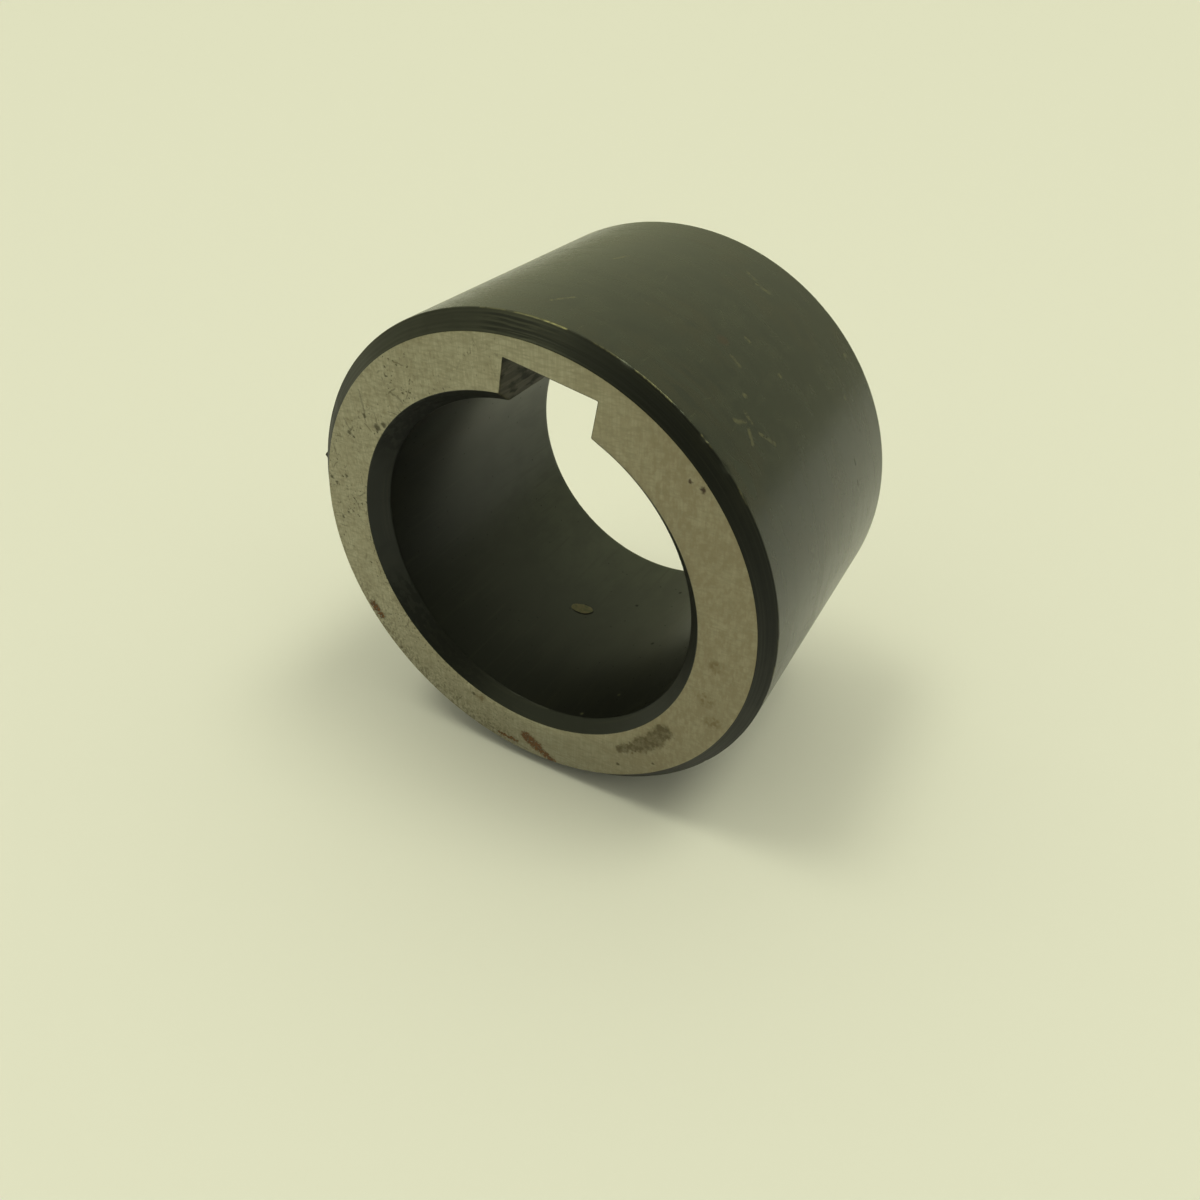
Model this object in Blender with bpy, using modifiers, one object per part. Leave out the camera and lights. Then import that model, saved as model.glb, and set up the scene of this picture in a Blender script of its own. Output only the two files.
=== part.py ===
"""Keyed spacer collar: a plain turned steel ring with a keyway broached through its bore.

The collar lies on its side. Its axis runs along Y, +Z is up, and the origin is on the
axis at mid-length. The front face looks along -Y and the rear face along +Y.
"""

import math

import bpy

# Driving dimensions, in metres
OUTER_RADIUS = 0.02778125  # 2-3/16 in outside diameter
BORE_RADIUS = 0.01905  # 1-1/2 in bore
LENGTH = 0.036
OUTER_CHAMFER = 0.0015875  # 1/16 in at 45 degrees
BORE_CHAMFER = 0.0014  # at 45 degrees
KEYWAY_WIDTH = 0.00987
KEYWAY_FLOOR = 0.02356  # from the axis to the keyway's flat floor
KEYWAY_TILT = math.radians(11.25)  # how far the keyway has rolled from the top towards +X

TURNED_STEPS = 142  # facets around the ring; 4n + 2 puts a facet, not an edge, at the bottom
SHARP_ANGLE = math.radians(30)
KEYWAY_OVERRUN = 0.004  # how far the cutter passes each end face
CUTTER_DEPTH = 0.012  # from the keyway's floor towards the axis


def clear_objects():
    for obj in list(bpy.data.objects):
        bpy.data.objects.remove(obj)


def new_collection(name):
    collection = bpy.data.collections.new(name)
    bpy.context.scene.collection.children.link(collection)
    return collection


def steel():
    """Machined steel with a dark oxide finish."""
    material = bpy.data.materials.new("blackened_steel")
    material.use_nodes = True
    shader = material.node_tree.nodes["Principled BSDF"]
    shader.inputs["Base Color"].default_value = (0.075, 0.076, 0.068, 1.0)
    shader.inputs["Metallic"].default_value = 0.9
    shader.inputs["Roughness"].default_value = 0.42
    return material


def ring_section():
    """The ring's closed section as (radius, height), from the top of the outer wall down."""
    top = LENGTH / 2
    return [
        (OUTER_RADIUS, top - OUTER_CHAMFER),
        (OUTER_RADIUS, -top + OUTER_CHAMFER),
        (OUTER_RADIUS - OUTER_CHAMFER, -top),
        (BORE_RADIUS + BORE_CHAMFER, -top),
        (BORE_RADIUS, -top + BORE_CHAMFER),
        (BORE_RADIUS, top - BORE_CHAMFER),
        (BORE_RADIUS + BORE_CHAMFER, top),
        (OUTER_RADIUS - OUTER_CHAMFER, top),
    ]


def turned_ring(name, collection):
    """The plain ring, turned about its own Z and then laid down along Y."""
    section = ring_section()
    mesh = bpy.data.meshes.new(name)
    edges = [(i, (i + 1) % len(section)) for i in range(len(section))]
    mesh.from_pydata([(radius, 0, height) for radius, height in section], edges, [])
    ring = bpy.data.objects.new(name, mesh)
    collection.objects.link(ring)
    ring.rotation_euler = (-math.pi / 2, 0, 0)
    screw = ring.modifiers.new("turned", "SCREW")
    screw.steps = TURNED_STEPS
    screw.render_steps = TURNED_STEPS
    screw.use_merge_vertices = True
    screw.merge_threshold = 0.00001
    return ring


def keyway_cutter(collection):
    """A block whose outer side is the keyway's floor, rolled with the collar."""
    bpy.ops.mesh.primitive_cube_add(size=1)
    cutter = bpy.context.object
    cutter.name = "keyway_cutter"
    for owner in list(cutter.users_collection):
        owner.objects.unlink(cutter)
    collection.objects.link(cutter)
    middle = KEYWAY_FLOOR - CUTTER_DEPTH / 2
    cutter.scale = (KEYWAY_WIDTH, LENGTH + 2 * KEYWAY_OVERRUN, CUTTER_DEPTH)
    cutter.location = (middle * math.sin(KEYWAY_TILT), 0, middle * math.cos(KEYWAY_TILT))
    cutter.rotation_euler = (0, KEYWAY_TILT, 0)
    cutter.hide_render = True
    cutter.display_type = "WIRE"
    return cutter


def settle_mesh(obj):
    """Keeps the modified shape as the object's own mesh, smooth except at its real edges."""
    depsgraph = bpy.context.evaluated_depsgraph_get()
    mesh = bpy.data.meshes.new_from_object(obj.evaluated_get(depsgraph))
    obj.modifiers.clear()
    obj.data = mesh
    mesh.shade_smooth()
    mesh.set_sharp_from_angle(angle=SHARP_ANGLE)


def build():
    clear_objects()
    parts = new_collection("keyed_collar")
    cutters = new_collection("cutters")
    ring = turned_ring("collar_ring", parts)
    keyway = ring.modifiers.new("keyway", "BOOLEAN")
    keyway.operation = "DIFFERENCE"
    keyway.solver = "EXACT"
    keyway.object = keyway_cutter(cutters)
    settle_mesh(ring)
    ring.data.materials.append(steel())


build()
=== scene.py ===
import math

import bpy
import numpy as np
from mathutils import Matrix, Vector


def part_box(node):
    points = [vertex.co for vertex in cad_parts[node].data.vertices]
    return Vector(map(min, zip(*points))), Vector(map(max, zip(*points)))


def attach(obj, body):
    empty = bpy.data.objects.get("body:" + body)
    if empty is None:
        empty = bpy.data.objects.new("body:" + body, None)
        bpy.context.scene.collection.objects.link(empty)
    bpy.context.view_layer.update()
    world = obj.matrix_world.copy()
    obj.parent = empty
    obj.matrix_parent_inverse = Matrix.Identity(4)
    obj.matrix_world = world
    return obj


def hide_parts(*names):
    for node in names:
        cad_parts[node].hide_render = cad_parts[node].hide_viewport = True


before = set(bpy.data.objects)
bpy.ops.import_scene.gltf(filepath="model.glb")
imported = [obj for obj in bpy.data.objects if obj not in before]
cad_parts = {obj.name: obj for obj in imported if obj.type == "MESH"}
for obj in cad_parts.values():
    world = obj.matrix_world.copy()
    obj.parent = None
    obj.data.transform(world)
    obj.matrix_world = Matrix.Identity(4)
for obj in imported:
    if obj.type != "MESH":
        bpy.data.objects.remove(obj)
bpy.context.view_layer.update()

# A keyed steel spacer collar, lying on its side. Its axis runs along Y and its front face looks
# along -Y. Around the axis, an angle is measured from +Z towards +X.

MM = 0.001
NODE = "collar_ring"

# Sizes taken from the frame
LOW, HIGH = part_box(NODE)
RADIUS = (HIGH[0] - LOW[0]) / 2
HALF_LENGTH = (HIGH[1] - LOW[1]) / 2
FLOOR_Z = LOW[2]

# Sizes that the frame's box doesn't hold
BORE_RADIUS = 19.05 * MM
KEYWAY_HALF_WIDTH = 4.935 * MM
KEYWAY_FLOOR = 23.56 * MM
KEYWAY_ANGLE = math.radians(11.25)
OUTER_CHAMFER = 1.5875 * MM
BORE_CHAMFER = 1.35 * MM
BORE_CHAMFER_DEPTH = 1.5 * MM
EDGE_Y = OUTER_CHAMFER - HALF_LENGTH  # where the front chamfer meets the outer wall

# The front chamfers were turned out of true with the ground face, so their widths vary around
# the ring. Each swell is its height in mm, how many there are in a turn, and the angle of one.
OUTER_SWELLS = [(0.091, 1, 105), (0.099, 2, 61)]
INNER_SWELLS = [(0.06, 0, 0), (0.15, 1, -61)]
DEPTH_FOR_WIDTH = 3.3  # how much deeper the bore's chamfer gets for each mm that it widens

# Small rounds on the turned edges
EDGE_ROUND = 0.09 * MM
ROUND_STEPS = 4
KEYWAY_ROUND = 0.16 * MM

# Turning marks cut into the outer chamfers
GROOVE_DEPTH = 0.012 * MM
GROOVES = 4

# Wear on the front outer edge: a depth in mm and the waves on it, each as its height in mm, how
# many there are in a turn, and its phase
EDGE_WEAR = 0.022
WEAR_WAVES = [(0.008, 9, 1), (0.006, 23, 0), (0.004, 57, 0)]
WEAR_WAY = math.radians(22.5)  # from straight out towards the front, halfway between wall and chamfer

# Knocks on the front outer edge: angle in degrees, then half length and depth in mm
NICKS = [
    (9.8, 0.4, 0.05),
    (24.0, 1.1, 0.08),
    (36.5, 0.4, 0.06),
    (42.7, 0.6, 0.11),
    (49.0, 0.7, 0.14),
    (55.5, 0.8, 0.08),
    (83.0, 0.5, 0.05),
    (128.0, 0.6, 0.08),
    (-31.0, 0.5, 0.04),
    (-120.0, 0.6, 0.08),
]
# Stretches of that edge where bright steel shows: two angles in degrees, and how bright
WORN_STRETCHES = [
    (-7, -2, 0.25),
    (0.5, 7, 0.45),
    (7, 11, 0.8),
    (17, 22, 0.2),
    (26.3, 34, 0.35),
    (42.3, 43.1, 0.7),
]
# A small burr on that edge
BURR_ANGLE = math.radians(-76)
BURR_HEIGHT = 0.28 * MM
BURR_REACH = 0.25 * MM

# The outer chamfers: the darkest turning marks, as mm in from the outer wall's radius, and where
# three finishes start to show and are full, as angles in radians
CHAMFER_MARKS = [0.42, 0.72, 1.02, 1.4]
COARSE_FROM, COARSE_TO = (-0.16, -0.02), (0.30, 0.06)
PLAIN_FROM, PLAIN_TO = (-1.3, -0.9), (0.0, -0.14)
DULL_FROM = (-0.7, -1.1)

# Marks on the outer wall: scratches as two (angle in degrees, y in mm) ends, specks as one
WALL_SCRATCHES = [
    ((23.1, 10.6), (25.3, 10.2)),
    ((26.5, 9.5), (29.5, 9.8)),
    ((33.9, -0.3), (35.3, -0.4)),
    ((34.8, -4.5), (37.3, -4.7)),
    ((44.4, -9.1), (46.7, -9.2)),
    ((44.2, -11.2), (45.7, -9.9)),
    ((47.1, -10.2), (49.4, -11.0)),
    ((49.2, -9.0), (52.6, -7.7)),
    ((2.8, -12.2), (5.3, -10.3)),
    ((0.0, 1.0), (1.8, 2.8)),
]
WALL_SPECKS = [(43.9, -0.2), (42.1, -7.4), (50.8, 14.0), (57.5, 9.5)]
WALL_DARK_MARKS = [((75.2, 7.3), (76.6, 7.4)), ((70.1, 7.2), (71.4, 7.3))]
WALL_RUST = (31.4, -3.5)

# Marks on the front face: a place (x, z), or two ends, and a half width, all in mm
RUST = [
    ((-22.4, -11.8), (-22.1, -12.4), 0.8),
    ((-21.6, -12.9), (-21.4, -13.2), 0.6),
    ((-0.6, -23.6), (0.9, -24.6), 1.25),
    ((0.9, -24.6), (2.9, -25.9), 0.8),
    ((-4.6, -25.0), (-2.2, -25.1), 0.4),
]
SMUDGE = [
    ((12.3, -18.9), (14.7, -17.3), 0.9),
    ((14.7, -17.0), (16.5, -15.3), 1.5),
    ((16.5, -15.0), (17.4, -13.6), 1.6),
]
RED_DOTS = [((19.7, 16.5), 0.38), ((18.5, 17.0), 0.28)]
STAINS = [((22.5, -2.2), 1.1), ((21.7, -6.8), 1.3), ((22.8, -9.5), 1.2), ((-7.2, -20.2), 1.1)]
DARK_SPOTS = [
    ((12.0, -21.5), 0.3),
    ((16.4, -19.0), 0.3),
    ((-8.1, -20.1), 0.35),
    ((-19.0, -17.4), 0.3),
    ((-22.8, 5.9), 0.34),
    ((-23.4, 5.7), 0.22),
    ((-24.5, 4.6), 0.3),
    ((-25.1, 5.1), 0.3),
    ((-24.7, 0.1), 0.3),
    ((-22.8, 1.3), 0.25),
    ((-23.6, 1.0), 0.25),
    ((-21.1, 11.6), 0.4),
    ((-18.4, 14.2), 0.35),
    ((-16.9, 13.2), 0.6),
    ((-15.9, 13.7), 0.5),
    ((-14.6, 19.3), 0.25),
]
FACE_SCRATCHES = [
    ((-18.6, 16.9), (-18.3, 14.1)),
    ((-21.5, 13.2), (-20.6, 11.2)),
    ((-14.3, 17.7), (-12.8, 16.9)),
    ((-6.4, -24.4), (-3.2, -25.3)),
    ((-3.0, -25.2), (-0.4, -25.9)),
]

# Stretches of the bore's front chamfer that are torn and dark, and how long they fade, in degrees
TORN_STRETCHES = [(-66, -14), (-166, -104)]
TORN_FADE = 12

# Marks in the bore, as (angle in degrees, y in mm)
BORE_PALE_SPECKS = [(171.4, -18.2), (161.2, -16.1), (152.2, -12.3)]
BORE_DARK_SPECKS = [(156.2, -1.5), (163.0, 10.8), (175.9, 6.2)]
FLAKE_PLACE = (-166.6, 1.4)
FLAKE_HALF_SIZE = (1.55, 0.85)
FLAKE_TILT = math.radians(-25)

# Mesh density
ARC_COLUMNS = 700
KEYWAY_WALL_COLUMNS = 14
KEYWAY_FLOOR_COLUMNS = 30
KEYWAY_CORNER_COLUMNS = 5
CHAMFER_ROWS = 14
FACE_ROWS = 4

# Bright steel where the oxide is worn through, and the tints of the oxide's gloss
BRIGHT_STEEL = (0.30, 0.28, 0.17)
WALL_TINT = (0.88, 0.94, 1.0)
OXIDE_TINT = (0.9, 0.95, 1.0)

# The camera: where it is from its target, in degrees from -Y towards +X and degrees above the floor
AZIMUTH = 30.213
ELEVATION = 37.26
CAMERA_DISTANCE = 104.97 * MM
CAMERA_TARGET = Vector((2.9, -6.38, -9.18)) * MM
SENSOR_WIDTH = 36
LENS = 26.594
CLIP_START, CLIP_END = 0.01, 20

# The floor and the light
FLOOR_HALF_SIZE = 3.0
FLOOR_COLOUR = (0.8, 0.785, 0.93)
LIGHT_COLOUR = (1.0, 1.025, 0.61)
BACKDROP_COLOUR = (0.744, 0.751, 0.52)  # the floor's, as lit
WALL_GLOW = 0.48
CEILING_GLOW = 0.69
VIEWER_REACH = (38, 14)  # degrees from the middle at which the dark patch starts, and is full
VIEWER_SHADE = 0.05
# Two soft lamps overhead: degrees from +Y towards +X, degrees above the floor, reach in degrees,
# and glow, which is full out to a share of the reach
LAMPS = [(63, 68, 14, 7.0), (250, 69.3, 11, 9.1)]
LAMP_CORE = 0.4


# ---------------------------------------------------------------- shape of the collar


def polar(points):
    """Angle of each (x, z) point around the axis, from +Z towards +X."""
    return np.arctan2(points[:, 0], points[:, 1])


def swell(angles, swells):
    """Slow variation around the ring, as a sum of waves."""
    total = np.zeros(np.shape(angles))
    for height, count, at in swells:
        total = total + height * MM * np.cos(count * (angles - math.radians(at)))
    return total


def curve(before, tip, after, steps):
    """Points of a quadratic curve that rounds the corner at tip."""
    t = (np.arange(steps) + 0.5)[:, None] / steps
    return (1 - t) ** 2 * before + 2 * t * (1 - t) * tip + t**2 * after


def between(a, b, steps):
    """Evenly spaced points from a to b, both left out."""
    t = (np.arange(steps) + 1)[:, None] / (steps + 1)
    return a + (b - a) * t


def turn(points, angle):
    """Rolls (x, z) points about the axis, from +Z towards +X."""
    cosine, sine = math.cos(angle), math.sin(angle)
    x, z = points[:, 0], points[:, 1]
    return np.stack([x * cosine + z * sine, z * cosine - x * sine], 1)


def bore_outline(radius, grow=0.0):
    """Closed (x, z) outline of the bore with its keyway. Radius is a function of the angle."""
    half, top = KEYWAY_HALF_WIDTH + grow, KEYWAY_FLOOR + grow

    def on_circle(angle):
        r = radius(angle + KEYWAY_ANGLE)
        return np.stack([r * np.sin(angle), r * np.cos(angle)], -1)

    def mouth(side):
        """Angle at which the keyway's wall meets the bore, closed in on because its radius varies."""
        angle = math.asin(half / BORE_RADIUS)
        for _ in range(8):
            angle = math.asin(half / float(radius(np.array([side * angle + KEYWAY_ANGLE]))[0]))
        return side * angle

    right, left = mouth(1), mouth(-1)
    step = KEYWAY_ROUND / BORE_RADIUS
    arc = on_circle(np.linspace(right + step, 2 * math.pi + left - step, ARC_COLUMNS))
    left_tip, right_tip = on_circle(np.array([left]))[0], on_circle(np.array([right]))[0]
    up = np.array([0.0, KEYWAY_ROUND])
    along = np.array([KEYWAY_ROUND, 0.0])
    left_top, right_top = np.array([-half, top]), np.array([half, top])
    pieces = [
        arc,
        curve(arc[-1], left_tip, left_tip + up, KEYWAY_CORNER_COLUMNS),
        between(left_tip + up, left_top - up, KEYWAY_WALL_COLUMNS),
        curve(left_top - up, left_top, left_top + along, KEYWAY_CORNER_COLUMNS),
        between(left_top + along, right_top - along, KEYWAY_FLOOR_COLUMNS),
        curve(right_top - along, right_top, right_top - up, KEYWAY_CORNER_COLUMNS),
        between(right_top - up, right_tip + up, KEYWAY_WALL_COLUMNS),
        curve(right_tip + up, right_tip, arc[0], KEYWAY_CORNER_COLUMNS),
    ]
    return turn(np.concatenate(pieces), KEYWAY_ANGLE)


def ring(outline, y):
    """A station of the mesh: the (x, z) outline at y along the axis."""
    y = np.broadcast_to(y, len(outline))
    return np.stack([outline[:, 0], y, outline[:, 1]], 1)


def circle(angles, radius):
    """The (x, z) points at the angles, on one radius or on one for each."""
    radius = np.broadcast_to(radius, len(angles))
    return np.stack([radius * np.sin(angles), radius * np.cos(angles)], 1)


def graded(start, stop, fine, growth, widest):
    """Positions from start to stop, closely spaced at both ends and wider in the middle."""
    half = [0.0]
    step = fine
    while half[-1] + step < (stop - start) / 2:
        half.append(half[-1] + step)
        step = min(step * growth, widest)
    half = np.array(half)
    middle = np.array([(start + stop) / 2])
    return np.concatenate([start + half, middle, (stop - half)[::-1]])


def worn_depth(angles):
    """How far the front outer edge is worn or knocked back, at each angle."""
    depth = np.full(np.shape(angles), EDGE_WEAR)
    for height, count, phase in WEAR_WAVES:
        depth = depth + height * np.sin(count * angles + phase)
    for angle, half_length, deepest in NICKS:
        turned = np.angle(np.exp(1j * (angles - math.radians(angle))))  # the short way round
        gap = turned * RADIUS / MM
        depth = np.maximum(depth, deepest * (1 - (gap / half_length) ** 2))
    return depth * MM


def wear_front_edge(points):
    """Pushes a station's points in along the bisector of the front outer edge, where it is worn."""
    angles = np.arctan2(points[:, 0], points[:, 2])
    radius = np.hypot(points[:, 0], points[:, 2])
    out, back = math.cos(WEAR_WAY), -math.sin(WEAR_WAY)
    height = (radius - RADIUS) * out + (points[:, 1] - EDGE_Y) * back
    push = np.minimum(-worn_depth(angles) - height, 0.0)
    from_burr = np.hypot((angles - BURR_ANGLE) * RADIUS, np.hypot(radius - RADIUS, points[:, 1] - EDGE_Y))
    push = push + BURR_HEIGHT * np.exp(-((from_burr / BURR_REACH) ** 2))
    scale = (radius + push * out) / radius
    return np.stack([points[:, 0] * scale, points[:, 1] + push * back, points[:, 2] * scale], 1)


def collar_stations():
    """The collar as a closed loop of rings, with the surface that each band between rings shows."""
    stations, bands = [], []

    def add(points, surface):
        stations.append(wear_front_edge(points))
        bands.append(surface)

    nominal = bore_outline(lambda angles: np.full(np.shape(angles), BORE_RADIUS + BORE_CHAMFER))
    angles = polar(nominal)
    end = HALF_LENGTH - OUTER_CHAMFER - 2 * EDGE_ROUND
    for y in graded(-end, end, fine=0.12 * MM, growth=1.5, widest=3 * MM):
        add(ring(circle(angles, RADIUS), -y), "outer_wall")
    add_end(add, angles, -1)
    add_bore(add)
    add_end(add, angles, 1)
    return stations, bands


def chamfer_width(angles, side):
    """Radial width of the outer chamfer. Side is -1 at the front and 1 at the rear."""
    return OUTER_CHAMFER - (swell(angles, OUTER_SWELLS) if side < 0 else 0.0)


def outer_chamfer_rows(angles, side):
    """(radius, distance from mid-length, surface) of each ring on the outer chamfer and its rounds."""
    width = chamfer_width(angles, side)
    slope = math.sqrt(0.5) * EDGE_ROUND
    start = HALF_LENGTH - OUTER_CHAMFER
    rows = []
    for t in np.linspace(0, 1, ROUND_STEPS + 1):
        dr = -slope * t**2
        dy = -EDGE_ROUND * (1 - t) ** 2 + slope * t**2
        rows.append((RADIUS + dr, start + dy, "outer_wall" if t < 0.5 else "outer_chamfer"))
    for t in np.linspace(0, 1, CHAMFER_ROWS)[1:-1]:
        groove = GROOVE_DEPTH * (1 - math.cos(2 * math.pi * GROOVES * t)) / 2
        rows.append((RADIUS - width * t - groove, start + OUTER_CHAMFER * t - groove, "outer_chamfer"))
    for t in np.linspace(0, 1, ROUND_STEPS + 1):
        dr = slope * (1 - t) ** 2 - EDGE_ROUND * t**2
        dy = -slope * (1 - t) ** 2
        rows.append((RADIUS - width + dr, HALF_LENGTH + dy, "outer_chamfer" if t < 0.5 else "face"))
    return rows


def add_end(add, angles, side):
    """One end of the collar: its outer chamfer and its ground face."""
    inner = bore_outline(lambda a: bore_rim(a, side, 0.0), EDGE_ROUND)
    outer = circle(angles, RADIUS - chamfer_width(angles, side) - EDGE_ROUND)
    rings = [(circle(angles, radius), y, surface) for radius, y, surface in outer_chamfer_rows(angles, side)]
    for t in np.linspace(0, 1, FACE_ROWS + 2)[1:-1]:
        rings.append((outer + (inner - outer) * t, HALF_LENGTH, "face"))
    if side > 0:
        rings.reverse()
    for outline, y, surface in rings:
        add(ring(outline, side * y), surface)


def bore_rim(angles, side, depth):
    """Radius of the bore at a depth below the face, with its chamfer and that chamfer's rounds."""
    extra = swell(angles, INNER_SWELLS) * (side < 0)
    line = BORE_RADIUS + (BORE_CHAMFER + extra) * (1 - depth / (BORE_CHAMFER_DEPTH + DEPTH_FOR_WIDTH * extra))
    radius = np.maximum(line, BORE_RADIUS)
    gap = np.abs(line - BORE_RADIUS)
    radius = radius + np.maximum(EDGE_ROUND - gap, 0.0) ** 2 / (4 * EDGE_ROUND)
    return radius + max(EDGE_ROUND - depth, 0.0) ** 2 / (2 * EDGE_ROUND)


def add_bore(add):
    """The bore and keyway, from the front face to the rear face, densest where their chamfers end."""
    rim = [0.0, 0.01, 0.03, 0.06, 0.09]  # depths below the face, in mm
    front = np.concatenate([rim, [0.3, 0.6, 0.85], np.arange(1.05, 2.35, 0.09)]) * MM
    rear = np.array([*rim, 0.5, 0.9, 1.3, 1.5, 1.7]) * MM
    length = 2 * HALF_LENGTH
    middle = graded(front[-1], length - rear[-1], fine=0.5 * MM, growth=1.6, widest=4 * MM)[1:-1]
    for y in np.concatenate([front, middle, length - rear[::-1]]):
        near = min(y, length - y)
        side = -1 if y < HALF_LENGTH else 1
        rounding = max(0.0, EDGE_ROUND - near)
        grow = EDGE_ROUND - math.sqrt(EDGE_ROUND**2 - rounding**2)
        outline = bore_outline(lambda a: bore_rim(a, side, near), grow)
        add(ring(outline, y - HALF_LENGTH), "bore")


def surface_slots(stations, bands):
    """The surfaces' names, and the index of the surface that each quad shows, band by band."""
    names = list(MATERIALS)
    keyway = np.arange(len(stations[0])) >= ARC_COLUMNS
    rows = []
    for points, band in zip(stations, bands):
        row = np.full(len(points), names.index(band))
        if band == "bore":
            radius = np.hypot(points[:, 0], points[:, 2])
            row[radius > BORE_RADIUS + EDGE_ROUND] = names.index("bore_chamfer")
            row[keyway] = names.index("keyway")
        rows.append(row)
    return names, np.concatenate(rows)


def loop_faces(count, columns):
    """Quads between each of the rings and the next, and between the last and the first."""
    row, column = np.divmod(np.arange(count * columns), columns)
    here, below = row * columns, (row + 1) % count * columns
    beside = (column + 1) % columns
    return np.stack([here + column, below + column, below + beside, here + beside], 1)


def make_collar():
    """The collar's one mesh, with a material for each of its surfaces."""
    stations, bands = collar_stations()
    faces = loop_faces(len(stations), len(stations[0]))
    mesh = bpy.data.meshes.new("ring_surface")
    mesh.from_pydata(np.concatenate(stations).tolist(), [], faces.tolist())
    names, slots = surface_slots(stations, bands)
    for name in names:
        mesh.materials.append(MATERIALS[name]())
    mesh.polygons.foreach_set("material_index", slots.astype(np.int32))
    mesh.shade_smooth()
    mesh.validate()
    collar = bpy.data.objects.new("ring_surface", mesh)
    bpy.context.scene.collection.objects.link(collar)
    return collar


# ---------------------------------------------------------------- materials


class Surface:
    """One material, with short calls that add nodes to it. Lengths are in mm."""

    def __init__(self, name, colour, roughness, metallic=0.0):
        self.material = bpy.data.materials.new(name)
        self.material.use_nodes = True
        self.nodes = self.material.node_tree.nodes
        self.links = self.material.node_tree.links
        self.shader = self.nodes["Principled BSDF"]
        self.colour, self.roughness, self.metallic = colour, roughness, metallic
        metres = self.nodes.new("ShaderNodeTexCoord").outputs["Object"]
        self.place = self.vector("SCALE", metres, scale=1 / MM)
        split = self.nodes.new("ShaderNodeSeparateXYZ")
        self.put(split.inputs[0], self.place)
        self.x, self.y, self.z = split.outputs
        self.front = self.ramp(self.y, 1.0, -1.0)  # 1 on the front half and 0 on the rear half
        self.radius = self.vector("LENGTH", self.plane(self.x, self.z))
        self.angle = self.math("ARCTAN2", self.x, self.z)

    def put(self, socket, value):
        """Links another node's output to a socket, or sets the socket to a number or colour."""
        if isinstance(value, bpy.types.NodeSocket):
            self.links.new(value, socket)
        elif socket.type == "RGBA":
            socket.default_value = (*value, 1)
        else:
            socket.default_value = value

    def math(self, operation, *values, clamp=False):
        """A Math node's result."""
        node = self.nodes.new("ShaderNodeMath")
        node.operation = operation
        node.use_clamp = clamp
        for socket, value in zip(node.inputs, values):
            self.put(socket, value)
        return node.outputs[0]

    def vector(self, operation, *values, scale=None):
        """A Vector Math node's result, which is a number for some operations."""
        node = self.nodes.new("ShaderNodeVectorMath")
        node.operation = operation
        for socket, value in zip(node.inputs, values):
            self.put(socket, value)
        if scale is not None:
            self.put(node.inputs["Scale"], scale)
        gives_number = operation in ("DOT_PRODUCT", "DISTANCE", "LENGTH")
        return node.outputs["Value" if gives_number else "Vector"]

    def plane(self, across, along):
        """The two coordinates as one vector."""
        node = self.nodes.new("ShaderNodeCombineXYZ")
        self.put(node.inputs[0], across)
        self.put(node.inputs[1], along)
        return node.outputs[0]

    def unrolled(self, radius):
        """The wall at a radius rolled out flat: the distance around it, and y."""
        return self.plane(self.math("MULTIPLY", self.angle, radius / MM), self.y)

    def rolled(self, degrees):
        """The place, rolled about the axis."""
        node = self.nodes.new("ShaderNodeVectorRotate")
        node.rotation_type = "Y_AXIS"
        self.put(node.inputs["Vector"], self.place)
        node.inputs["Angle"].default_value = math.radians(degrees)
        return node.outputs[0]

    def ramp(self, value, low, high, at_low=0.0, at_high=1.0):
        """A smooth step from low to high. Low may be the larger."""
        node = self.nodes.new("ShaderNodeMapRange")
        node.interpolation_type = "SMOOTHSTEP"
        for name, number in zip(("Value", "From Min", "From Max", "To Min", "To Max"),
                                (value, low, high, at_low, at_high)):
            self.put(node.inputs[name], number)
        return node.outputs["Result"]

    def noise(self, size, seed, detail=3.0, place=None):
        """Noise from 0 to 1 whose features are size (x, y, z) across."""
        node = self.nodes.new("ShaderNodeTexNoise")
        node.inputs["Scale"].default_value = 1.0
        node.inputs["Detail"].default_value = detail
        scaled = self.vector("DIVIDE", self.place if place is None else place, size)
        self.put(node.inputs["Vector"], self.vector("ADD", scaled, (7.3 * seed, 3.1 * seed, 5.7 * seed)))
        return node.outputs["Fac"]

    def both(self, *amounts):
        """Product of the amounts."""
        total = amounts[0]
        for amount in amounts[1:]:
            total = self.math("MULTIPLY", total, amount)
        return total

    def any(self, amounts):
        """The largest of the amounts."""
        total = amounts[0]
        for amount in amounts[1:]:
            total = self.math("MAXIMUM", total, amount)
        return total

    def warped(self, plane, size, amount, seed):
        """The plane with its coordinates pushed about, so that marks on it get uneven outlines."""
        shift = self.plane(self.noise((size,) * 3, seed), self.noise((size,) * 3, seed + 1))
        shift = self.vector("SUBTRACT", shift, (0.5, 0.5, 0))
        return self.vector("ADD", plane, self.vector("SCALE", shift, scale=amount))

    def spot(self, plane, centre, reach):
        """1 at the centre, falling to 0 at reach."""
        return self.ramp(self.vector("DISTANCE", plane, (*centre, 0)), reach, 0.35 * reach)

    def line(self, plane, start, end, reach):
        """1 along a straight mark, falling to 0 at reach from it."""
        start = Vector((*start, 0))
        run = Vector((*end, 0)) - start
        offset = self.vector("SUBTRACT", plane, start)
        share = self.vector("DOT_PRODUCT", offset, run / run.length_squared)
        along = self.math("ADD", share, 0.0, clamp=True)
        foot = self.vector("SCALE", run, scale=along)
        return self.ramp(self.vector("DISTANCE", offset, foot), reach, 0.0)

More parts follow.
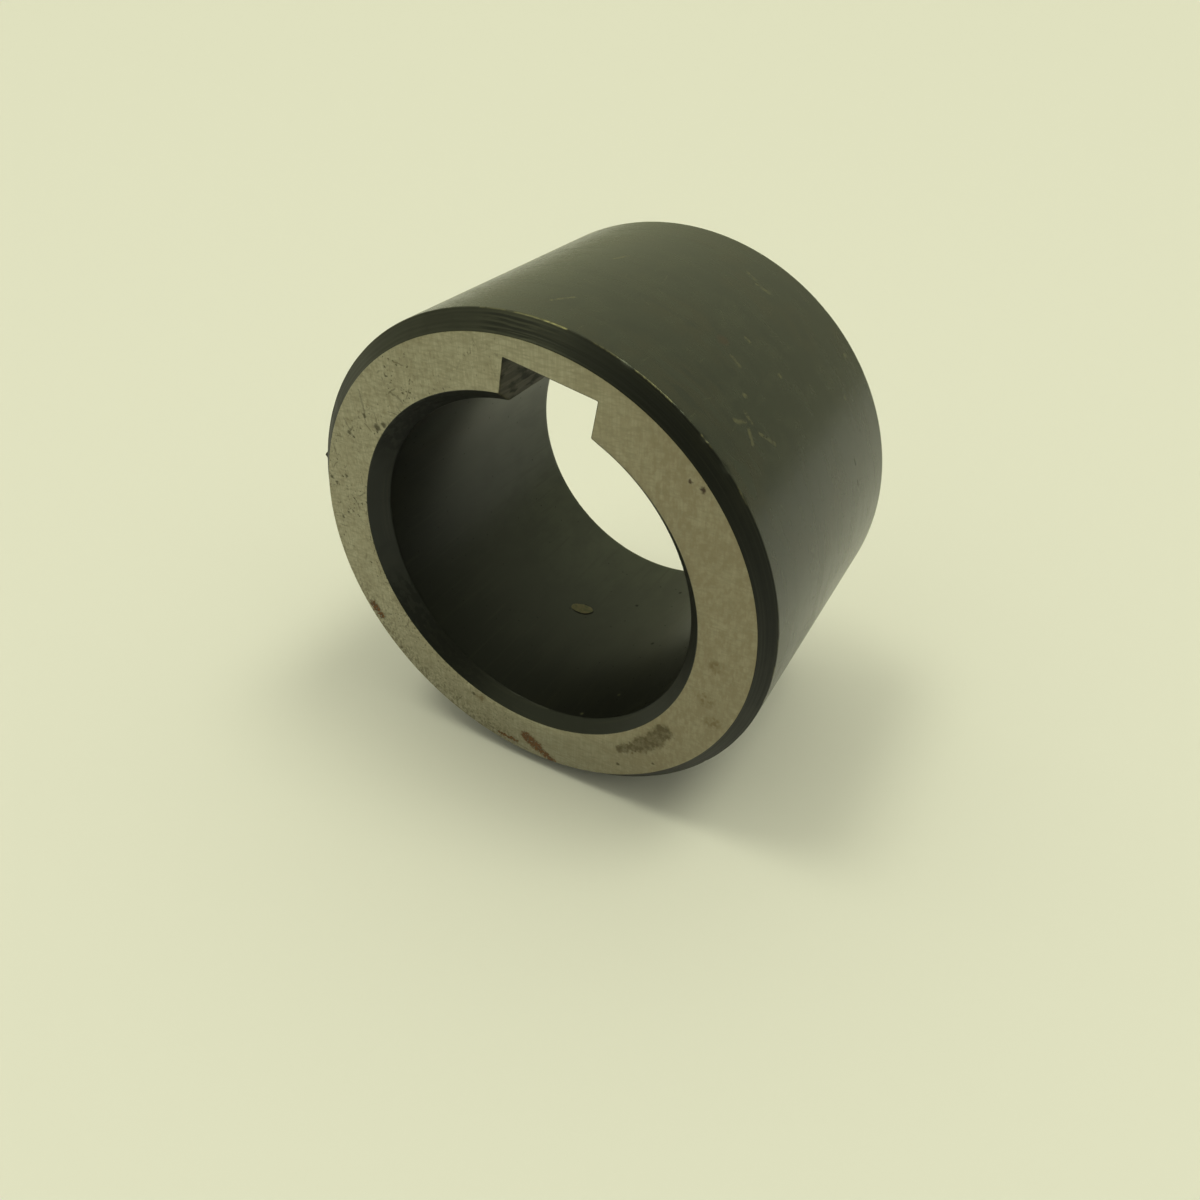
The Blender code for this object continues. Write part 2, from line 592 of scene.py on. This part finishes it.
    def random_marks(self, plane, cell, length, reach, share, seed):
        """Short straight marks at random places and angles, in a share of cells of the given size."""
        node = self.nodes.new("ShaderNodeTexVoronoi")
        node.voronoi_dimensions = "2D"
        node.inputs["Scale"].default_value = 1.0
        scaled = self.vector("ADD", self.vector("SCALE", plane, scale=1 / cell), (seed, 2 * seed, 0))
        self.put(node.inputs["Vector"], scaled)
        offset = self.vector("SUBTRACT", scaled, node.outputs["Position"])
        pick = self.nodes.new("ShaderNodeSeparateColor")
        self.put(pick.inputs[0], node.outputs["Color"])
        turn_by = self.math("MULTIPLY", pick.outputs[0], math.pi)
        way = self.plane(self.math("COSINE", turn_by), self.math("SINE", turn_by))
        along = self.vector("DOT_PRODUCT", offset, way)
        foot = self.vector("SCALE", way, scale=along)
        gap = self.vector("DISTANCE", offset, foot)
        return self.both(
            self.ramp(gap, reach / cell, 0.0),
            self.ramp(self.math("ABSOLUTE", along), length / cell, 0.6 * length / cell),
            self.math("LESS_THAN", pick.outputs[1], share),
        )

    def mix(self, amount, a, b, kind="RGBA"):
        """A colour or a number between a and b."""
        node = self.nodes.new("ShaderNodeMix")
        node.data_type = kind
        first = {"FLOAT": 2, "RGBA": 6}[kind]
        for index, value in ((0, amount), (first, a), (first + 1, b)):
            self.put(node.inputs[index], value)
        return node.outputs[{"FLOAT": 0, "RGBA": 2}[kind]]

    def cover(self, amount, colour=None, roughness=None, metallic=None):
        """Lays a finish over what is there, by amount. What isn't given stays as it is."""
        if colour is not None:
            self.colour = self.mix(amount, self.colour, colour)
        if roughness is not None:
            self.roughness = self.mix(amount, self.roughness, roughness, "FLOAT")
        if metallic is not None:
            self.metallic = self.mix(amount, self.metallic, metallic, "FLOAT")

    def finish(self, height=None, depth=0.0, gloss=0.5, tint=(1, 1, 1)):
        """Gives the layers to the shader, with relief of a depth where height goes from 0 to 1."""
        self.put(self.shader.inputs["Base Color"], self.colour)
        self.put(self.shader.inputs["Roughness"], self.roughness)
        self.put(self.shader.inputs["Metallic"], self.metallic)
        self.shader.inputs["Specular IOR Level"].default_value = gloss
        self.put(self.shader.inputs["Specular Tint"], tint)
        if height is not None:
            bump = self.nodes.new("ShaderNodeBump")
            bump.inputs["Distance"].default_value = depth * MM
            self.put(bump.inputs["Height"], height)
            self.links.new(bump.outputs["Normal"], self.shader.inputs["Normal"])
        return self.material


def on_wall(mark, radius=RADIUS):
    """An (angle in degrees, y) mark as a point of the unrolled wall."""
    return (math.radians(mark[0]) * radius / MM, mark[1])


def wear_on_edge(s):
    """Where bright steel shows along the front outer edge: some long stretches, and faint patches."""
    unrolled = s.unrolled(RADIUS)
    edge = EDGE_Y / MM
    gap = s.vector("DISTANCE", s.plane(s.radius, s.y), (RADIUS / MM, edge, 0))
    grain = s.ramp(s.noise((0.4, 0.4, 0.4), 32), 0.3, 0.6, 0.2, 1.0)
    patches = s.both(s.ramp(s.noise((1.6, 1.6, 1.6), 31), 0.52, 0.68), 0.3)
    stretches = [
        s.both(s.line(unrolled, on_wall((a, edge)), on_wall((b, edge)), 0.4), bright)
        for a, b, bright in WORN_STRETCHES
    ]
    return s.both(s.any(stretches + [patches]), s.ramp(gap, 0.15, 0.04), grain)


def outer_wall():
    """Black oxide over turned steel: satin, softly streaked around the axis, lightly scratched."""
    s = Surface("outer_wall", (0.0125, 0.0143, 0.0105), 0.24)
    unrolled = s.unrolled(RADIUS)
    streaks = s.noise((16, 0.9, 16), 2, detail=5)
    fine = s.noise((9, 0.28, 9), 3, detail=4)
    clouds = s.noise((5, 1.6, 1), 6, detail=4, place=unrolled)
    s.cover(s.ramp(s.noise((7, 7, 7), 1), 0.42, 0.66), (0.019, 0.0172, 0.0105), 0.27)
    s.cover(s.ramp(clouds, 0.5, 0.66), (0.0165, 0.0185, 0.0138), 0.28)
    s.cover(s.ramp(clouds, 0.48, 0.34), (0.010, 0.0112, 0.0085), 0.235)
    s.cover(s.ramp(streaks, 0.5, 0.76, 0.0, 0.6), (0.009, 0.0098, 0.0072), 0.3)
    s.cover(s.ramp(fine, 0.55, 0.75, 0.0, 0.4), (0.0195, 0.0205, 0.015), 0.27)
    blotches = s.noise((2.0, 3.2, 1), 8, detail=5, place=unrolled)
    s.cover(s.ramp(blotches, 0.5, 0.68, 0.0, 0.6), (0.0225, 0.0245, 0.0175), 0.29)
    bent = s.warped(unrolled, 1.2, 0.5, 7)
    scratches = [s.line(bent, on_wall(a), on_wall(b), 0.32) for a, b in WALL_SCRATCHES]
    scratches += [s.spot(bent, on_wall(mark), 0.4) for mark in WALL_SPECKS]
    broken = s.ramp(s.noise((0.5, 0.5, 0.5), 4), 0.3, 0.6)
    faint = s.random_marks(bent, cell=3.1, length=0.9, reach=0.12, share=0.35, seed=5.5)
    s.cover(s.both(s.any(scratches), broken, 0.62), (0.11, 0.1, 0.056), 0.4)
    s.cover(s.both(faint, broken, 0.15), (0.09, 0.088, 0.055), 0.4)
    dark = [s.line(unrolled, on_wall(a), on_wall(b), 0.14) for a, b in WALL_DARK_MARKS]
    s.cover(s.any(dark), (0.004, 0.004, 0.003), 0.6)
    s.cover(s.both(s.spot(unrolled, on_wall(WALL_RUST), 0.9), 0.6), (0.035, 0.017, 0.01), 0.5)
    s.cover(wear_on_edge(s), BRIGHT_STEEL, 0.4, 1.0)
    return s.finish(fine, 0.0012, gloss=0.5, tint=WALL_TINT)


def turned_chamfer():
    """The outer chamfers: oxide over turning marks, which are coarse near the top, plain to its left."""
    s = Surface("turned_chamfer", (0.0048, 0.005, 0.0043), 0.46)
    lines = s.noise((30, 0.16, 30), 11, detail=2)
    coarse = s.both(s.ramp(s.angle, *COARSE_FROM), s.ramp(s.angle, *COARSE_TO))
    plain = s.both(s.ramp(s.angle, *PLAIN_FROM), s.ramp(s.angle, *PLAIN_TO))
    s.cover(plain, (0.022, 0.0225, 0.0185), 0.44)
    s.cover(s.both(s.ramp(s.angle, *DULL_FROM), s.front), (0.006, 0.0062, 0.0052), 0.62)
    ridged = s.ramp(plain, 0.0, 1.0, 1.0, 0.25)
    s.cover(s.both(s.ramp(lines, 0.5, 0.66), ridged), (0.0125, 0.013, 0.0102), 0.42)
    s.cover(s.both(coarse, 0.9), (0.036, 0.0365, 0.029), 0.36)
    wander = s.both(s.math("SUBTRACT", s.noise((5, 5, 5), 13), 0.5), 0.35)
    down = s.math("SUBTRACT", s.math("ADD", wander, RADIUS / MM), s.radius)
    gaps = [s.math("ABSOLUTE", s.math("SUBTRACT", down, at)) for at in CHAMFER_MARKS]
    marks = s.any([s.ramp(gap, 0.13, 0.05) for gap in gaps])
    uneven = s.ramp(s.noise((3, 0.4, 3), 14), 0.3, 0.5)
    s.cover(s.both(marks, uneven, s.ramp(coarse, 0.0, 1.0, 0.25, 0.95)), (0.0025, 0.0025, 0.0022), 0.5)
    s.cover(s.both(s.ramp(lines, 0.42, 0.3), ridged), (0.003, 0.003, 0.003), 0.5)
    s.cover(s.ramp(s.noise((3, 3, 3), 12), 0.5, 0.7, 0.0, 0.5), (0.010, 0.0093, 0.0075), 0.4)
    s.cover(wear_on_edge(s), BRIGHT_STEEL, 0.4, 1.0)
    return s.finish(s.both(lines, ridged), 0.01, gloss=0.26, tint=OXIDE_TINT)


def ground_face():
    """Ground steel: crossed grinding marks, soft stains, small pits, rust and a brown smudge."""
    s = Surface("ground_face", (0.318, 0.302, 0.227), 0.4, 1.0)
    flat = s.plane(s.x, s.z)
    mottle = s.noise((0.5, 0.5, 0.6), 24, detail=4)
    relief = grinding_marks(s, mottle)
    pits_and_scuffs(s, flat)
    marks_on_front(s, flat, mottle)
    return s.finish(relief, 0.0014)


def grinding_marks(s, mottle):
    """Grinding marks in three directions, and soft clouds, browner and darker to the right, partly a stain
    and partly painted shade. Returns the relief.
    """
    upright = s.noise((0.2, 1, 3.5), 21, detail=4)
    slanted = s.noise((5, 1, 0.22), 22, detail=4, place=s.rolled(20.8))
    level = s.noise((1.6, 1, 0.25), 33, detail=3)
    clouds = s.noise((3.2, 3.2, 3.2), 23)
    s.cover(s.ramp(upright, 0.42, 0.62), (0.36, 0.342, 0.263), 0.36)
    s.cover(s.ramp(slanted, 0.5, 0.66, 0.0, 0.35), (0.255, 0.239, 0.176), 0.45)
    s.cover(s.ramp(level, 0.46, 0.64, 0.0, 0.6), (0.25, 0.236, 0.175), 0.44)
    s.cover(s.ramp(clouds, 0.44, 0.7, 0.0, 0.3), (0.265, 0.24, 0.17), 0.44)
    s.cover(s.ramp(mottle, 0.5, 0.7, 0.0, 0.45), (0.235, 0.218, 0.162), 0.46)
    grain = s.ramp(s.noise((0.45, 0.45, 0.8), 25, detail=5), 0.35, 0.65, 0.5, 1.0)
    # Browner and darker to the right: partly a stain, partly painted shade.
    s.cover(s.both(s.ramp(s.x, 2.0, 18.0), grain, 0.9), (0.237, 0.204, 0.141), 0.44)
    return s.math("ADD", upright, s.both(slanted, 0.6))


def pits_and_scuffs(s, flat):
    """Blotches, pits and fine hairs, mostly on the left, and scuffs along the lower left edge."""
    rough_side = s.ramp(s.x, 4, -12, 0.1, 1.0)
    blotches = s.ramp(s.noise((0.4, 0.4, 0.55), 34, detail=5), 0.46, 0.7)
    s.cover(s.both(blotches, rough_side, 0.55), (0.215, 0.193, 0.132), 0.46)
    pitted = s.both(s.ramp(s.noise((4.5, 4.5, 4.5), 26), 0.42, 0.56), rough_side)
    pits = s.ramp(s.noise((0.3, 0.3, 0.42), 27, detail=2), 0.62, 0.72)
    bent = s.warped(flat, 0.8, 0.5, 35)
    hairs = s.random_marks(bent, cell=1.7, length=0.8, reach=0.12, share=0.6, seed=3.5)
    s.cover(s.both(s.any([pits, s.both(hairs, 0.6)]), pitted, 0.85), (0.075, 0.066, 0.043), 0.6, 0.8)
    scuffs = s.ramp(s.noise((0.35, 0.35, 0.5), 36, detail=5), 0.47, 0.6)
    near_edge = s.ramp(s.radius, 22.5, 26.0, 0.25, 1.0)
    lower_left = s.both(s.ramp(s.x, 1.0, -7.0), s.ramp(s.z, -5.0, -12.0))
    s.cover(s.both(scuffs, near_edge, lower_left, s.front, 0.6), (0.115, 0.1, 0.065), 0.52)


def marks_on_front(s, flat, mottle):
    """The front face's own spots, scratches, stains, smudge, rust and red dots."""
    ragged = s.warped(flat, 0.4, 0.6, 28)
    spots = [s.spot(ragged, place, size) for place, size in DARK_SPOTS]
    spots += [s.both(s.line(ragged, a, b, 0.2), 0.5) for a, b in FACE_SCRATCHES]
    s.cover(s.both(s.any(spots), s.front, 0.8), (0.05, 0.043, 0.027), 0.55, 0.7)
    stains = s.any([s.spot(ragged, place, size) for place, size in STAINS])
    stained = s.both(stains, s.front, s.ramp(mottle, 0.4, 0.58, 0.3, 1.0), 0.75)
    s.cover(stained, (0.165, 0.128, 0.074), 0.5)
    brushed = s.warped(flat, 0.6, 1.6, 29)
    smudge = s.any([s.line(brushed, a, b, size) for a, b, size in SMUDGE])
    smudged = s.both(s.ramp(smudge, 0.0, 0.6), s.front, s.ramp(mottle, 0.3, 0.6, 0.55, 1.0), 0.85)
    s.cover(smudged, (0.085, 0.068, 0.038), 0.55, 0.7)
    rust_on_front(s, flat)
    dots = s.any([s.spot(ragged, place, size) for place, size in RED_DOTS])
    s.cover(s.both(dots, s.front, 0.9), (0.035, 0.014, 0.012), 0.7, 0.2)


def rust_on_front(s, flat):
    """Crumbly rust, from dark brown to orange."""
    crumbling = s.warped(flat, 0.3, 1.1, 37)
    rust = s.any([s.line(crumbling, a, b, size) for a, b, size in RUST])
    crusty = s.noise((0.3, 0.3, 0.3), 30, detail=5)
    tone = s.mix(s.ramp(crusty, 0.4, 0.6), (0.045, 0.026, 0.012), (0.15, 0.057, 0.017))
    s.cover(s.both(s.ramp(rust, 0.0, 0.6), s.ramp(crusty, 0.33, 0.46), s.front), tone, 0.8, 0.0)


def bore():
    """The bore: darker oxide, with painted light making it paler towards the rear opening, faint lines along
    it, specks and a dull rim.
    """
    s = Surface("bore", (0.0045, 0.0048, 0.0045), 0.38)
    unrolled = s.unrolled(BORE_RADIUS)
    # Painted light: the bore is made paler, in mottled patches, towards the rear opening where the room's
    # light comes in.
    painted_light_mottle = s.ramp(s.noise((3, 5, 3), 41, detail=4), 0.3, 0.6, 0.5, 1.0)
    s.cover(s.both(s.ramp(s.y, -10.0, 12.0), painted_light_mottle), (0.026, 0.029, 0.0215), 0.33)
    s.cover(s.ramp(s.noise((5, 9, 5), 43), 0.5, 0.65, 0.0, 0.6), (0.0105, 0.011, 0.0085), 0.34)
    lines = s.noise((0.5, 9, 0.5), 42, detail=4)
    s.cover(s.ramp(lines, 0.52, 0.7, 0.0, 0.6), (0.0135, 0.0135, 0.010), 0.36)
    specks = s.random_marks(unrolled, cell=2.3, length=0.14, reach=0.12, share=0.25, seed=9.5)
    s.cover(specks, (0.003, 0.003, 0.003), 0.7)
    dark = s.any([s.spot(unrolled, on_wall(mark, BORE_RADIUS), 0.32) for mark in BORE_DARK_SPECKS])
    s.cover(dark, (0.002, 0.002, 0.002), 0.7)
    pale = s.any([s.spot(unrolled, on_wall(mark, BORE_RADIUS), 0.28) for mark in BORE_PALE_SPECKS])
    s.cover(s.both(pale, 0.8), (0.09, 0.09, 0.06), 0.6)
    flake(s, unrolled)
    rim = s.ramp(s.radius, BORE_RADIUS / MM + 0.01, BORE_RADIUS / MM + 0.05)
    s.cover(rim, (0.004, 0.004, 0.0035), 0.75)
    return s.finish(lines, 0.002, gloss=0.47, tint=OXIDE_TINT)


def flake(s, unrolled):
    """A pale flake of scale lying askew across the bore, with its cast shadow painted dark under its front
    edge.
    """
    offset = s.vector("SUBTRACT", s.warped(unrolled, 0.8, 0.3, 45), (*on_wall(FLAKE_PLACE, BORE_RADIUS), 0))
    cosine, sine = math.cos(FLAKE_TILT), math.sin(FLAKE_TILT)
    along = s.math("DIVIDE", s.vector("DOT_PRODUCT", offset, (cosine, sine, 0)), FLAKE_HALF_SIZE[0])
    across = s.math("DIVIDE", s.vector("DOT_PRODUCT", offset, (-sine, cosine, 0)), FLAKE_HALF_SIZE[1])
    # Painted shadow of the flake, offset below its front edge.
    painted_shadow = s.vector("LENGTH", s.plane(s.math("ADD", along, 0.08), s.math("ADD", across, 0.3)))
    s.cover(s.ramp(painted_shadow, 1.0, 0.85), (0.0008, 0.0008, 0.0008), 0.9)
    tone = s.mix(s.ramp(s.noise((0.5, 0.5, 0.5), 46), 0.4, 0.6), (0.25, 0.21, 0.125), (0.17, 0.17, 0.1))
    s.cover(s.ramp(s.vector("LENGTH", s.plane(along, across)), 1.0, 0.9), tone, 0.6)


def bore_chamfer():
    """The bore's chamfers: the same oxide over fine turning marks."""
    s = Surface("bore_chamfer", (0.012, 0.0128, 0.0112), 0.38)
    lines = s.noise((20, 0.22, 20), 51, detail=2)
    s.cover(s.ramp(lines, 0.5, 0.7), (0.018, 0.018, 0.014), 0.36)
    s.cover(s.ramp(s.noise((2.5, 2.5, 2.5), 52), 0.5, 0.7, 0.0, 0.6), (0.008, 0.008, 0.007), 0.42)
    torn = s.ramp(s.noise((1.1, 0.5, 1.1), 53, detail=4), 0.4, 0.55, 0.15, 1.0)
    stretches = s.any([
        s.both(
            s.ramp(s.angle, math.radians(a), math.radians(a + TORN_FADE)),
            s.ramp(s.angle, math.radians(b), math.radians(b - TORN_FADE)),
        )
        for a, b in TORN_STRETCHES
    ])
    s.cover(s.both(torn, stretches, s.front, 0.9), (0.0022, 0.0022, 0.002), 0.55)
    return s.finish(s.math("ADD", lines, s.both(torn, stretches)), 0.004, gloss=0.35, tint=OXIDE_TINT)


def keyway():
    """The keyway: broached along the bore, brown-grey and rough, with painted shade that darkens it deep in,
    towards its floor and corners.
    """
    s = Surface("keyway", (0.042, 0.039, 0.027), 0.5)
    broached = s.noise((0.35, 6, 0.35), 61, detail=5)
    torn = s.noise((0.7, 1.8, 0.7), 62, detail=5)
    s.cover(s.ramp(broached, 0.42, 0.62), (0.075, 0.068, 0.045), 0.45)
    s.cover(s.ramp(torn, 0.5, 0.66), (0.016, 0.015, 0.011), 0.6)
    # Painted shade: darker deeper in the keyway, towards its floor.
    s.cover(s.ramp(s.radius, 22.8, 24.0, 0.0, 0.85), (0.009, 0.009, 0.007), 0.6)
    return s.finish(s.math("ADD", broached, torn), 0.02, gloss=0.35)


MATERIALS = {
    "outer_wall": outer_wall,
    "outer_chamfer": turned_chamfer,
    "face": ground_face,
    "bore": bore,
    "bore_chamfer": bore_chamfer,
    "keyway": keyway,
}


# ---------------------------------------------------------------- surroundings


def make_floor():
    """The plain pale floor under the collar."""
    mesh = bpy.data.meshes.new("floor")
    sides = ((-1, -1), (1, -1), (1, 1), (-1, 1))
    corners = [(x * FLOOR_HALF_SIZE, y * FLOOR_HALF_SIZE, FLOOR_Z) for x, y in sides]
    mesh.from_pydata(corners, [], [(0, 1, 2, 3)])
    floor = bpy.data.objects.new("floor", mesh)
    bpy.context.scene.collection.objects.link(floor)
    mesh.materials.append(Surface("floor", FLOOR_COLOUR, 0.7).finish())
    return floor


def heading(azimuth, elevation):
    """The direction at an azimuth from +Y towards +X and an elevation, both in degrees."""
    azimuth, elevation = math.radians(azimuth), math.radians(elevation)
    flat = math.cos(elevation)
    return Vector((math.sin(azimuth) * flat, math.cos(azimuth) * flat, math.sin(elevation)))


def looking_way():
    """Direction in which the camera looks."""
    return heading(-AZIMUTH, -ELEVATION)


def room_glow(tree):
    """How brightly the room glows in each direction, as a node's output."""
    nodes, links = tree.nodes, tree.links
    way = nodes.new("ShaderNodeTexCoord").outputs["Generated"]

    def towards(direction, low, high, at_low, at_high):
        """A smooth step of how closely the way matches a direction, as a cosine."""
        cosine = nodes.new("ShaderNodeVectorMath")
        cosine.operation = "DOT_PRODUCT"
        cosine.inputs[1].default_value = direction
        links.new(way, cosine.inputs[0])
        node = nodes.new("ShaderNodeMapRange")
        node.interpolation_type = "SMOOTHSTEP"
        links.new(cosine.outputs["Value"], node.inputs["Value"])
        for name, number in zip(("From Min", "From Max", "To Min", "To Max"), (low, high, at_low, at_high)):
            node.inputs[name].default_value = number
        return node.outputs["Result"]

    def combine(operation, a, b):
        """A Math node's result."""
        node = nodes.new("ShaderNodeMath")
        node.operation = operation
        links.new(a, node.inputs[0])
        links.new(b, node.inputs[1])
        return node.outputs[0]

    edge, core = (math.cos(math.radians(angle)) for angle in VIEWER_REACH)
    walls = towards((0, 0, 1), 0, 1, WALL_GLOW, CEILING_GLOW)
    total = combine("MULTIPLY", walls, towards(-looking_way(), edge, core, 1, VIEWER_SHADE))
    for azimuth, elevation, reach, glow in LAMPS:
        edge, core = math.cos(math.radians(reach)), math.cos(math.radians(LAMP_CORE * reach))
        total = combine("ADD", total, towards(heading(azimuth, elevation), edge, core, 0, glow))
    return total


def show_backdrop(tree, room):
    """Shows the camera a plain backdrop in place of the room, and leaves the room's light as it is."""
    nodes, links = tree.nodes, tree.links
    backdrop = nodes.new("ShaderNodeBackground")
    backdrop.inputs["Color"].default_value = (*BACKDROP_COLOUR, 1)
    seen = nodes.new("ShaderNodeMixShader")
    links.new(nodes.new("ShaderNodeLightPath").outputs["Is Camera Ray"], seen.inputs[0])
    links.new(room.outputs[0], seen.inputs[1])
    links.new(backdrop.outputs[0], seen.inputs[2])
    links.new(seen.outputs[0], nodes["World Output"].inputs["Surface"])


def make_world():
    """A soft room: two lamps overhead, walls dimmer than the ceiling, and dark where its viewer is."""
    world = bpy.data.worlds.new("room")
    world.use_nodes = True
    tree = world.node_tree
    room = tree.nodes["Background"]
    room.inputs["Color"].default_value = (*LIGHT_COLOUR, 1)
    tree.links.new(room_glow(tree), room.inputs["Strength"])
    show_backdrop(tree, room)
    bpy.context.scene.world = world


def make_camera():
    """The camera, where the photograph was taken from."""
    ahead = looking_way()
    data = bpy.data.cameras.new("camera")
    data.sensor_width = SENSOR_WIDTH
    data.lens = LENS
    data.clip_start = CLIP_START
    data.clip_end = CLIP_END
    camera = bpy.data.objects.new("camera", data)
    camera.location = CAMERA_TARGET - ahead * CAMERA_DISTANCE
    camera.rotation_euler = ahead.to_track_quat("-Z", "Y").to_euler()
    bpy.context.scene.collection.objects.link(camera)
    bpy.context.scene.camera = camera


collar = make_collar()
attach(collar, "root")
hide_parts(NODE)
make_floor()
make_world()
make_camera()
bpy.context.scene.view_settings.view_transform = "Standard"
